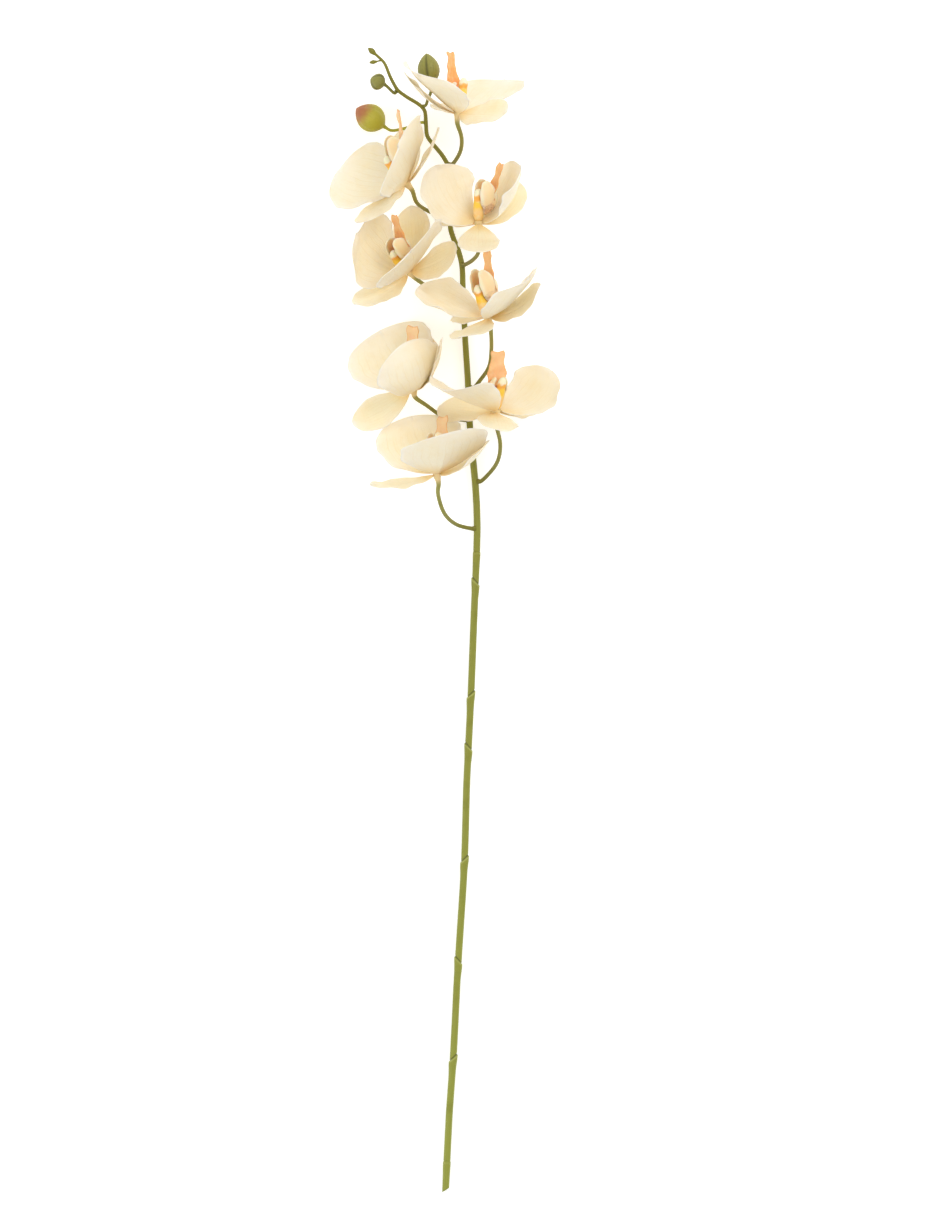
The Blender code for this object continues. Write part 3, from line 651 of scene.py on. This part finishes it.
CREAM_FRONT = (0.93, 0.83, 0.63)
CREAM_BACK = (0.92, 0.82, 0.62)
PALE_RIM = (0.93, 0.90, 0.80)
SPECKLE = 0.28
# the third colour of each blade is its foot: its own warm tint, darkened further as painted shade of the
# flower's centre
MAT_PETAL = blade_material("petal_skin", CREAM_FRONT, CREAM_BACK, (0.88, 0.62, 0.28), (0.88, 0.71, 0.43))
MAT_SEPAL = blade_material("sepal_skin", (0.92, 0.79, 0.54), (0.92, 0.80, 0.56), (0.87, 0.56, 0.22),
                           (0.85, 0.63, 0.33))
MAT_LOBE = lobe_material()
MAT_COLUMN = column_material()
MAT_STEM = green_material("stem_skin", (0.31, 0.335, 0.045), (0.22, 0.20, 0.02), (0.17, 0.17, 0.015),
                          (0.42, 0.44, 0.12))
MAT_PEDICEL = green_material("pedicel_skin", (0.19, 0.17, 0.015), (0.36, 0.34, 0.08), (0.15, 0.15, 0.02),
                             (0.86, 0.66, 0.34))
MAT_BUD = green_material("green_bud_skin", (0.21, 0.20, 0.035), (0.32, 0.30, 0.07), (0.14, 0.14, 0.025),
                         (0.35, 0.35, 0.1))
MAT_BLUSH = green_material("blush_bud_skin", (0.38, 0.36, 0.02), (0.55, 0.46, 0.06), (0.34, 0.34, 0.02),
                           (0.6, 0.5, 0.1), (0.42, 0.12, 0.06))


# ---------------------------------------------------------------- flowers
def ruffle(seed, depth):
    """Soft waves of the margin, a groove on the midrib and a slightly uneven outline."""
    r = np.random.default_rng(seed)
    phase = r.uniform(0, 2 * pi, 8)
    beat = r.uniform(0.85, 1.2, 4)

    def wave(u, v, span):
        ring = np.where(v >= 0, 1, -1) * (0.15 + u * 1.1)
        margin = np.maximum(np.abs(v) ** 3, smooth(0.78, 1.0, u))
        away = smooth(0.10, 0.35, u)
        lift = np.sin(2 * pi * 1.6 * beat[0] * ring + phase[0])
        lift = lift + 0.55 * np.sin(2 * pi * 3.1 * beat[1] * ring + phase[1])
        lift = lift * depth * margin * away
        broad = np.sin(2.2 * u * pi + phase[2]) * np.sin(1.4 * v * pi + phase[3])
        lift = lift + 0.35 * depth * broad * away
        lift = lift - 0.55 * np.exp(-(v / 0.07) ** 2) * smooth(0.95, 0.2, u) * smooth(0.0, 0.1, u)
        uneven = 1 + 0.018 * np.sin(2 * pi * 2.3 * beat[2] * ring + phase[4]) * away
        uneven += 0.010 * np.sin(2 * pi * 5.1 * beat[3] * ring + phase[5]) * away
        return span * uneven, lift

    return wave


def make_blade(name, flower, part, seed):
    """A petal or sepal as a thin closed body with a fine margin."""
    seat, setback = SEATS[part]
    petal = part in ("right_petal", "left_petal")
    kind = PETAL if petal else SEPAL
    rows, columns = PETAL_GRID if petal else SEPAL_GRID
    points, normals, u, v = blade_surface(kind, flower[part], seat, setback, rows, columns,
                                          ruffle(seed, 1.1 if petal else 0.7))
    normals = surface_normals(points, normals)
    rim = np.minimum(1 - np.abs(v), (1 - u) * 1.3)
    half = (0.16 + 0.26 * smooth(0.0, 0.5, rim) + 0.12 * smooth(0.3, 0.0, u))[..., None]
    front = on_table(points + normals * half, flower)
    back = on_table(points - normals * half, flower)
    vertices, faces, size = grid_body(front, back)
    marks = {}
    for key, grid in (("along", u), ("across", v), ("rim", rim)):
        one = np.append(grid[:-1].ravel(), grid[-1].mean() if key != "across" else 0.0)
        marks[key] = np.concatenate([one, one])
    marks["front"] = np.concatenate([np.ones(size), np.zeros(size)])
    marks["tone"] = np.full(2 * size, (seed * 0.37) % 7.0)
    add(name + "_" + part + "_skin", vertices, faces, [MAT_PETAL if petal else MAT_SEPAL],
        name + "_" + part, marks)


def leaf(path, across, size, cup, along_shift=None):
    """Grid along a path of (x, y, z, half width), with its normals and its own two coordinates."""
    rows, columns = size
    path = np.array(path, dtype=float)
    u = np.linspace(0, 1, rows + 1)
    dense = np.array([tuple(p) for p in smooth_line(path[:, :3].tolist(), 12)])
    line = np.stack([np.interp(u, np.linspace(0, 1, len(dense)), dense[:, k]) for k in range(3)], 1)
    keys = np.linspace(0, 40, len(path))
    dense = np.array([p[0] for p in smooth_line([(w, k, 0) for w, k in zip(path[:, 3], keys)], 12)])
    width = np.maximum(np.interp(u, np.linspace(0, 1, len(dense)), dense), 0.15)
    v = np.linspace(-1, 1, columns + 1)
    tangent = np.gradient(line, axis=0)
    tangent /= np.linalg.norm(tangent, axis=1, keepdims=True)
    side = np.tile(np.array(across, dtype=float), (len(u), 1))
    side -= tangent * (side * tangent).sum(1, keepdims=True)
    side /= np.linalg.norm(side, axis=1, keepdims=True)
    out = np.cross(tangent, side)
    uu, vv = np.meshgrid(u, v, indexing="ij")
    points = line[:, None] + side[:, None] * (width[:, None] * vv)[..., None]
    points = points + out[:, None] * (cup * width[:, None] * vv ** 2)[..., None]
    if along_shift is not None:
        points = points + tangent[:, None] * along_shift(uu, vv)[..., None]
    normals = surface_normals(points, np.broadcast_to(out[:, None], points.shape))
    return points, normals, uu, vv


def plain_marks(count, along):
    """Marks of a body of the lip that has no rim of its own."""
    return dict(along=along, front=np.ones(count), ear=np.zeros(count), rim=np.ones(count))


def column_body():
    """The column: a stout club with a capped tip."""
    line = [point + Vector((0, 0, COLUMN_FOOT)) for point in smooth_line(COLUMN_LINE, 4)]

    def radius(index, angle):
        height = line[index].z - COLUMN_FOOT
        return between(COLUMN_PROFILE, height) * (1 - 0.12 * abs(sin(angle)))

    points, faces = tube(line, radius, 20)
    along = np.clip((points[:, 2] - COLUMN_FOOT) / COLUMN_HEIGHT, 0, 1)
    return points, faces, plain_marks(len(points), along)


def thin_body(points, normals, u, v, thin, thick, ear, tip_shut):
    """A lobe of the lip as a closed body, thicker in its middle than at its rim."""
    half = (thin + thick * smooth(0.0, 0.5, 1 - np.abs(v)))[..., None]
    vertices, faces, size = grid_body(points + normals * half, points - normals * half, tip_shut)
    rim = np.minimum(1 - np.abs(v), (1 - u) * 2.5)
    marks = {}
    for key, grid in (("along", u), ("rim", rim)):
        one = np.append(grid[:-1].ravel(), grid[-1].mean()) if tip_shut else grid.ravel()
        marks[key] = np.concatenate([one, one])
    marks["front"] = np.concatenate([np.ones(size), np.zeros(size)])
    marks["ear"] = np.full(2 * size, ear)
    return vertices, faces, marks


def middle_lobe(size, neck):
    """Middle lobe: narrow claw, broad shoulders, neck and a forked tip."""
    path = [(x, y * size, LIP_START + (z - LIP_START) * size, w * size * (neck if z > SHOULDER else 1.0))
            for x, y, z, w in LOBE_LINE]

    def fork(u, v):
        horns = 1.1 * np.abs(v) ** 1.3 * smooth(0.86, 1.0, u)
        barbs = -2.6 * np.abs(v) ** 2 * np.exp(-((u - 0.42) / 0.10) ** 2)
        return horns + barbs

    points, normals, u, v = leaf(path, (1, 0, 0), MIDDLE_LOBE_GRID, 0.26, fork)
    if normals[10, 10, 1] < 0:
        normals = -normals
    ripple = 0.45 * np.sin(7 * pi * u + 2.2 * v) + 0.12 * np.sin(15 * pi * u - 1.5 * v)
    ripple = ripple * np.abs(v) ** 1.5 * smooth(0.15, 0.35, u)
    keel = 0.5 * np.exp(-(v / 0.16) ** 2) * smooth(1.0, 0.5, u)
    points = points + normals * (ripple + keel)[..., None]
    return thin_body(points, normals, u, v, 0.32, 0.35, 0.0, False)


def knob(hand):
    """Callus: one of two small knobs where the lobes meet."""
    line = smooth_line([(x * hand, y, z) for x, y, z in KNOB_LINE], 4)
    last = len(line) - 1
    points, faces = tube(line, lambda i, angle: KNOB_RADIUS * sin(pi * (0.12 + 0.8 * i / last)), 10)
    return points, faces, plain_marks(len(points), np.full(len(points), 0.22))


def side_lobe(hand, share):
    """Side lobe: an upright ear that curls towards the other one."""
    path = [(hand * x, y, EAR_START + (z - EAR_START) * share, w * share) for x, y, z, w in EAR_LINE]
    points, normals, u, v = leaf(path, (0, 1, 0), SIDE_LOBE_GRID, 0.0)
    inward = np.array([-hand, 0.0, 0.0])
    bowl = 1.7 * v ** 2 * np.sin(pi * np.clip(u * 0.9 + 0.1, 0, 1))
    bowl = bowl + 0.45 * np.sin(7 * pi * u) * np.abs(v) ** 3
    points = points + inward * bowl[..., None]
    normals = surface_normals(points, np.broadcast_to(inward, points.shape))
    return thin_body(points, normals, u, v, 0.3, 0.3, 1.0, True)


def lip_parts(turn, size, ear_share, droop, neck):
    """Bodies of the lip in the flower's own frame, its lobes turned about the face axis."""
    hands = (-1, 1)
    lobes = [middle_lobe(size, neck)] + [knob(hand) for hand in hands]
    lobes += [side_lobe(hand, size * ear_share) for hand in hands]
    spin = turn_z(np.array(radians(turn)))
    slope = tan(radians(droop))
    parts = [(*column_body(), 1)]
    for points, faces, marks in lobes:
        points = np.array(points)
        points[:, 1] -= slope * np.maximum(points[:, 2] - LIP_START, 0.0)
        parts.append((points @ spin.T, faces, marks, 0))
    return parts


def make_lip(name, flower):
    parts = lip_parts(flower["lip_turn"], flower["lip_size"], flower["ear"], flower["droop"],
                      NECK.get(name, 1.0))
    points, faces, indices = [], [], []
    marks = {"along": [], "front": [], "ear": [], "rim": []}
    count = 0
    for vertices, body, local, material in parts:
        points.append(on_table(vertices, flower, flower["swing"]))
        faces += [tuple(i + count for i in face) for face in body]
        indices += [material] * len(body)
        for key in marks:
            marks[key].append(local[key])
        count += len(vertices)
    marks = {key: np.concatenate(value) for key, value in marks.items()}
    marks["tone"] = np.full(count, PALENESS[name])
    add(name + "_lip_form", np.vstack(points), faces, [MAT_LOBE, MAT_COLUMN], name + "_lip", marks,
        indices)


def stem_radius(y):
    return STEM_RADIUS * between(STEM_TAPER, y)


def stem_centre():
    return smooth_line(STEM_LINE[:-1], 2) + [Vector(STEM_LINE[-1])]


def on_stem(y):
    """Point of the stem's centre line at a given y, and its direction there."""
    line = stem_centre()
    for a, b in zip(line, line[1:]):
        if a.y <= y <= b.y:
            return a + (b - a) * ((y - a.y) / (b.y - a.y)), (b - a).normalized()
    return line[-1], (line[-1] - line[-2]).normalized()


def stalk_root(joint, first, depth):
    """Two points where a stalk leaves the stem towards its first free point."""
    axis, along = on_stem(joint)
    away = Vector(first) - axis
    away = (away - along * away.dot(along)).normalized()
    root = stem_radius(axis.y) - ROOT_SINK
    return [axis + away * root, axis + away * (root + depth)]


def make_pedicel(name, flower, seed):
    """Flower stalk, thickened where it carries the flower."""
    centre = Vector(flower["at"])
    face = Vector(flower_axes(flower)[:, 2])
    points = stalk_root(flower["joint"], flower["stalk"][-1], 2.8)
    points += [Vector(point) for point in reversed(flower["stalk"])]
    points += [centre - face * 9.0, centre - face * 4.0, centre + face * 0.9]
    line = smooth_line(points, 9)
    lengths = np.concatenate([[0], np.cumsum([(b - a).length for a, b in zip(line, line[1:])])])
    total = lengths[-1]
    sides = 18

    def radius(index, angle):
        left = total - lengths[index]
        flare = 1 + 0.45 * max(0.0, 1 - lengths[index] / 4.0) ** 2
        ridge = 1 + 0.05 * cos(6 * angle) * smooth(14.0, 4.0, left)
        return between(PEDICEL_PROFILE, left) * flare * ridge

    vertices, faces = tube(line, radius, sides)
    # the end below the flower turns cream
    cream = -smooth(12.0, 4.0, total - lengths)[:, None]
    marks = tube_marks(lengths / total, cream, seed * 1.3, sides, seam_ends=(0.0, -1.0))
    add(name + "_pedicel_skin", vertices, faces, [MAT_PEDICEL], name + "_pedicel", marks)


for number, (name, flower) in enumerate(FLOWERS.items()):
    for place, part in enumerate(SEATS):
        make_blade(name, flower, part, 11 + number * 5 + place)
    make_lip(name, flower)
    make_pedicel(name, flower, number)


# ---------------------------------------------------------------- stem and buds
def sheath(y, side, node, lean):
    """Swelling of one leaf sheath and the tint of its rim: dark above the edge, pale on it."""
    t = y - node - SHEATH_SLANT * lean * side
    swell = SHEATH_SWELL * np.where(t < 0, smooth(-15.0, 0.0, t) ** 1.6, smooth(0.7, 0.0, t))
    swell = swell - 0.22 * np.exp(-((t - 1.1) / 0.6) ** 2)
    tint = np.exp(-((t - 1.0) / 0.75) ** 2) - 0.7 * np.exp(-((t + 0.8) / 0.7) ** 2)
    strength = 1.0 if lean else 0.45
    return strength * swell, strength * tint


def stem_rings():
    """Centre line of the stem in short steps, shorter still at the edges of the sheaths."""
    centre = stem_centre()
    line = []
    for a, b in zip(centre, centre[1:]):
        length = (b - a).length
        at = 0.0
        while at < length:
            point = a + (b - a) * (at / length)
            line.append(point)
            close = min(abs(point.y - node) for node, _ in STEM_NODES)
            at += 0.4 if close < 5.5 else 1.6
    line.append(Vector(STEM_LINE[-1]))
    line = np.array([tuple(point) for point in line])
    for _ in range(6):
        line[1:-1] = (line[:-2] + 2 * line[1:-1] + line[2:]) / 4
    return [Vector(point) for point in line.tolist()]


def make_stem():
    line = stem_rings()
    end = line[-1]
    toward = (line[-1] - line[-4]).normalized()
    tip_bud = {len(line) + k: r for k, (_, r) in enumerate(TIP_BUD_PROFILE)}
    line += [end + toward * step for step, _ in TIP_BUD_PROFILE]
    count, sides = len(line), 24

    def radius(index, angle):
        if index in tip_bud:
            return tip_bud[index] * (1 - 0.06 * abs(cos(1.5 * angle)) ** 6)
        return stem_radius(line[index].y)

    vertices, faces = tube(line, radius, sides)
    rings = vertices[:-2].reshape(count, sides, 3)
    middle = np.array([tuple(point) for point in line])[:, None, :]
    out = rings - middle
    reach = np.linalg.norm(out, axis=2)
    side = out[..., 0] / reach
    growth, tint = np.zeros(reach.shape), np.zeros(reach.shape)
    for node, lean in STEM_NODES:
        swell, edge = sheath(middle[..., 1], side, node, lean)
        growth, tint = growth + swell, tint + edge
    vertices[:-2] = (middle + out * (1 + growth / reach)[..., None]).reshape(-1, 3)
    # the cut end is slanted
    foot_x, foot_y = STEM_LINE[0][:2]
    heights = vertices[:, 1]
    low = heights < foot_y + CUT_REACH
    slant = CUT_SLANT * (1 - (heights[low] - foot_y) / CUT_REACH)
    vertices[low, 1] += (vertices[low, 0] - foot_x) * slant
    return vertices, faces, tube_marks(middle[:, 0, 1] / STEM_TOP, tint, 0.0, sides)


def make_twig():
    """Small side twig at the tip, with its own bud."""
    twig = smooth_line(TWIG_LINE, 6)
    last, sides = len(twig) - 1, 12
    points, faces = tube(twig, lambda i, angle: between(TWIG_PROFILE, i / last), sides)
    return points, faces, tube_marks(np.linspace(0.9, 1, last + 1), 0.0, 0.0, sides, ends=(0.9, 1.0))


stem_points, stem_faces, stem_marks = make_stem()
twig_points, twig_faces, twig_marks = make_twig()
stem_faces = stem_faces + [tuple(i + len(stem_points) for i in face) for face in twig_faces]
stem_marks = {key: np.concatenate([stem_marks[key], twig_marks[key]]) for key in stem_marks}
stem_points = np.vstack([stem_points, twig_points])
add("stem_skin_form", stem_points, stem_faces, [MAT_STEM], "stem", stem_marks)


def make_bud(name, material, seam_strength):
    """A bud on its stalk, with three seams."""
    bud = BUDS[name]
    foot, tip = Vector(bud["foot"]), Vector(bud["tip"])
    points = stalk_root(bud["joint"], bud["line"][0], 2.2)
    line = smooth_line(points + [Vector(point) for point in bud["line"]] + [foot], 8)
    stalk = len(line)
    steps = np.linspace(0, 1, 34)[1:]
    line += [foot + (tip - foot) * float(t) for t in steps]
    sides = 42

    def radius(index, angle):
        if index < stalk:
            flare = 0.7 * max(0.0, 1 - index / 5.0) ** 2 + 0.5 * smooth(stalk - 5, stalk, index)
            return BUD_STALK_RADIUS + flare
        t = float(steps[index - stalk])
        off_seam = angle * 3 / (2 * pi) % 1.0 - 0.5
        seam = 1 - 0.07 * np.exp(-(off_seam / 0.07) ** 2) * smooth(0.05, 0.4, t)
        keel = 1 + 0.03 * cos(3 * angle)
        return max(bud["radius"] * between(BUD_PROFILE, t) * seam * keel, 0.2 if t > 0.9 else 1.4)

    points, faces = tube(line, radius, sides)
    height = np.concatenate([np.zeros(stalk), steps])
    off_seam = np.arange(sides) * 3 / sides % 1.0 - 0.5
    cleft = smooth(0.05, 0.4, height)[:, None] * np.exp(-(off_seam / 0.09) ** 2)
    marks = tube_marks(height, cleft * seam_strength, bud["radius"], sides)
    add(name + "_form", points, faces, [material], name, marks)


make_bud("green_bud_small", MAT_BUD, 0.8)
make_bud("green_bud_large", MAT_BUD, 0.8)
make_bud("blush_bud", MAT_BLUSH, 0.25)


# ---------------------------------------------------------------- table, light, camera
TABLE_HALF = 12.0
CAMERA_HEIGHT = 12.0
# height of the flowers above the table at which the view's width is measured, and that width
VIEW_LEVEL = 0.04
VIEW_WIDTH = 0.956
# middle of the view from the middle of the spray
VIEW_SHIFT = (0.0196, 0.0096)
SENSOR = 36.0
TABLE_GLOW = 0.42
SKY_LIGHT = 0.68
LIGHT_AIM = Vector((0, 0.1, 0))


def make_floor():
    """White paper that glows a little, so that shadows stay faint."""
    n = Nodes("table_paper")
    cloud = n.noise(3.0, 2.0, 0.5)
    colour = n.mix(cloud, (0.93, 0.93, 0.93), (0.95, 0.95, 0.95))
    n.finish(colour, n.ramp(cloud, 0.3, 0.7, 0.75, 0.85), Specular_IOR_Level=0.2,
             Emission_Color=(1.0, 1.0, 1.0, 1.0), Emission_Strength=TABLE_GLOW)
    mesh = bpy.data.meshes.new("table_top")
    s = TABLE_HALF
    mesh.from_pydata([(-s, -s, 0), (s, -s, 0), (s, s, 0), (-s, s, 0)], [], [(0, 1, 2, 3)])
    mesh.materials.append(n.material)
    floor = bpy.data.objects.new("table_top", mesh)
    bpy.context.scene.collection.objects.link(floor)


def area_light(name, place, size, power, colour):
    data = bpy.data.lights.new(name, "AREA")
    data.shape = "RECTANGLE"
    data.size = data.size_y = size
    data.energy = power
    data.color = colour
    light = bpy.data.objects.new(name, data)
    light.location = place
    light.rotation_mode = "QUATERNION"
    light.rotation_quaternion = (LIGHT_AIM - Vector(place)).to_track_quat("-Z", "Y")
    bpy.context.scene.collection.objects.link(light)


def make_light():
    world = bpy.data.worlds.new("studio")
    bpy.context.scene.world = world
    world.use_nodes = True
    background = world.node_tree.nodes["Background"]
    background.inputs["Color"].default_value = (1.0, 1.0, 1.0, 1)
    background.inputs["Strength"].default_value = SKY_LIGHT
    bpy.context.scene.view_settings.view_transform = "Standard"
    area_light("key", (1.2, 1.6, 2.6), 2.0, 38, (1.0, 0.99, 0.975))
    area_light("fill", (-2.0, -0.4, 2.0), 2.4, 18, (0.97, 0.985, 1.0))


def make_camera():
    """Looks straight down on the spray, a little above and to the right of its middle."""
    middle = (cad_low + cad_high) / 2
    data = bpy.data.cameras.new("view")
    data.sensor_width = SENSOR
    data.lens = SENSOR * (CAMERA_HEIGHT - VIEW_LEVEL) / VIEW_WIDTH
    data.clip_start, data.clip_end = 0.1, 60.0
    camera = bpy.data.objects.new("view", data)
    camera.location = (middle.x + VIEW_SHIFT[0], middle.y + VIEW_SHIFT[1], CAMERA_HEIGHT)
    bpy.context.scene.collection.objects.link(camera)
    bpy.context.scene.camera = camera


make_floor()
make_light()
make_camera()
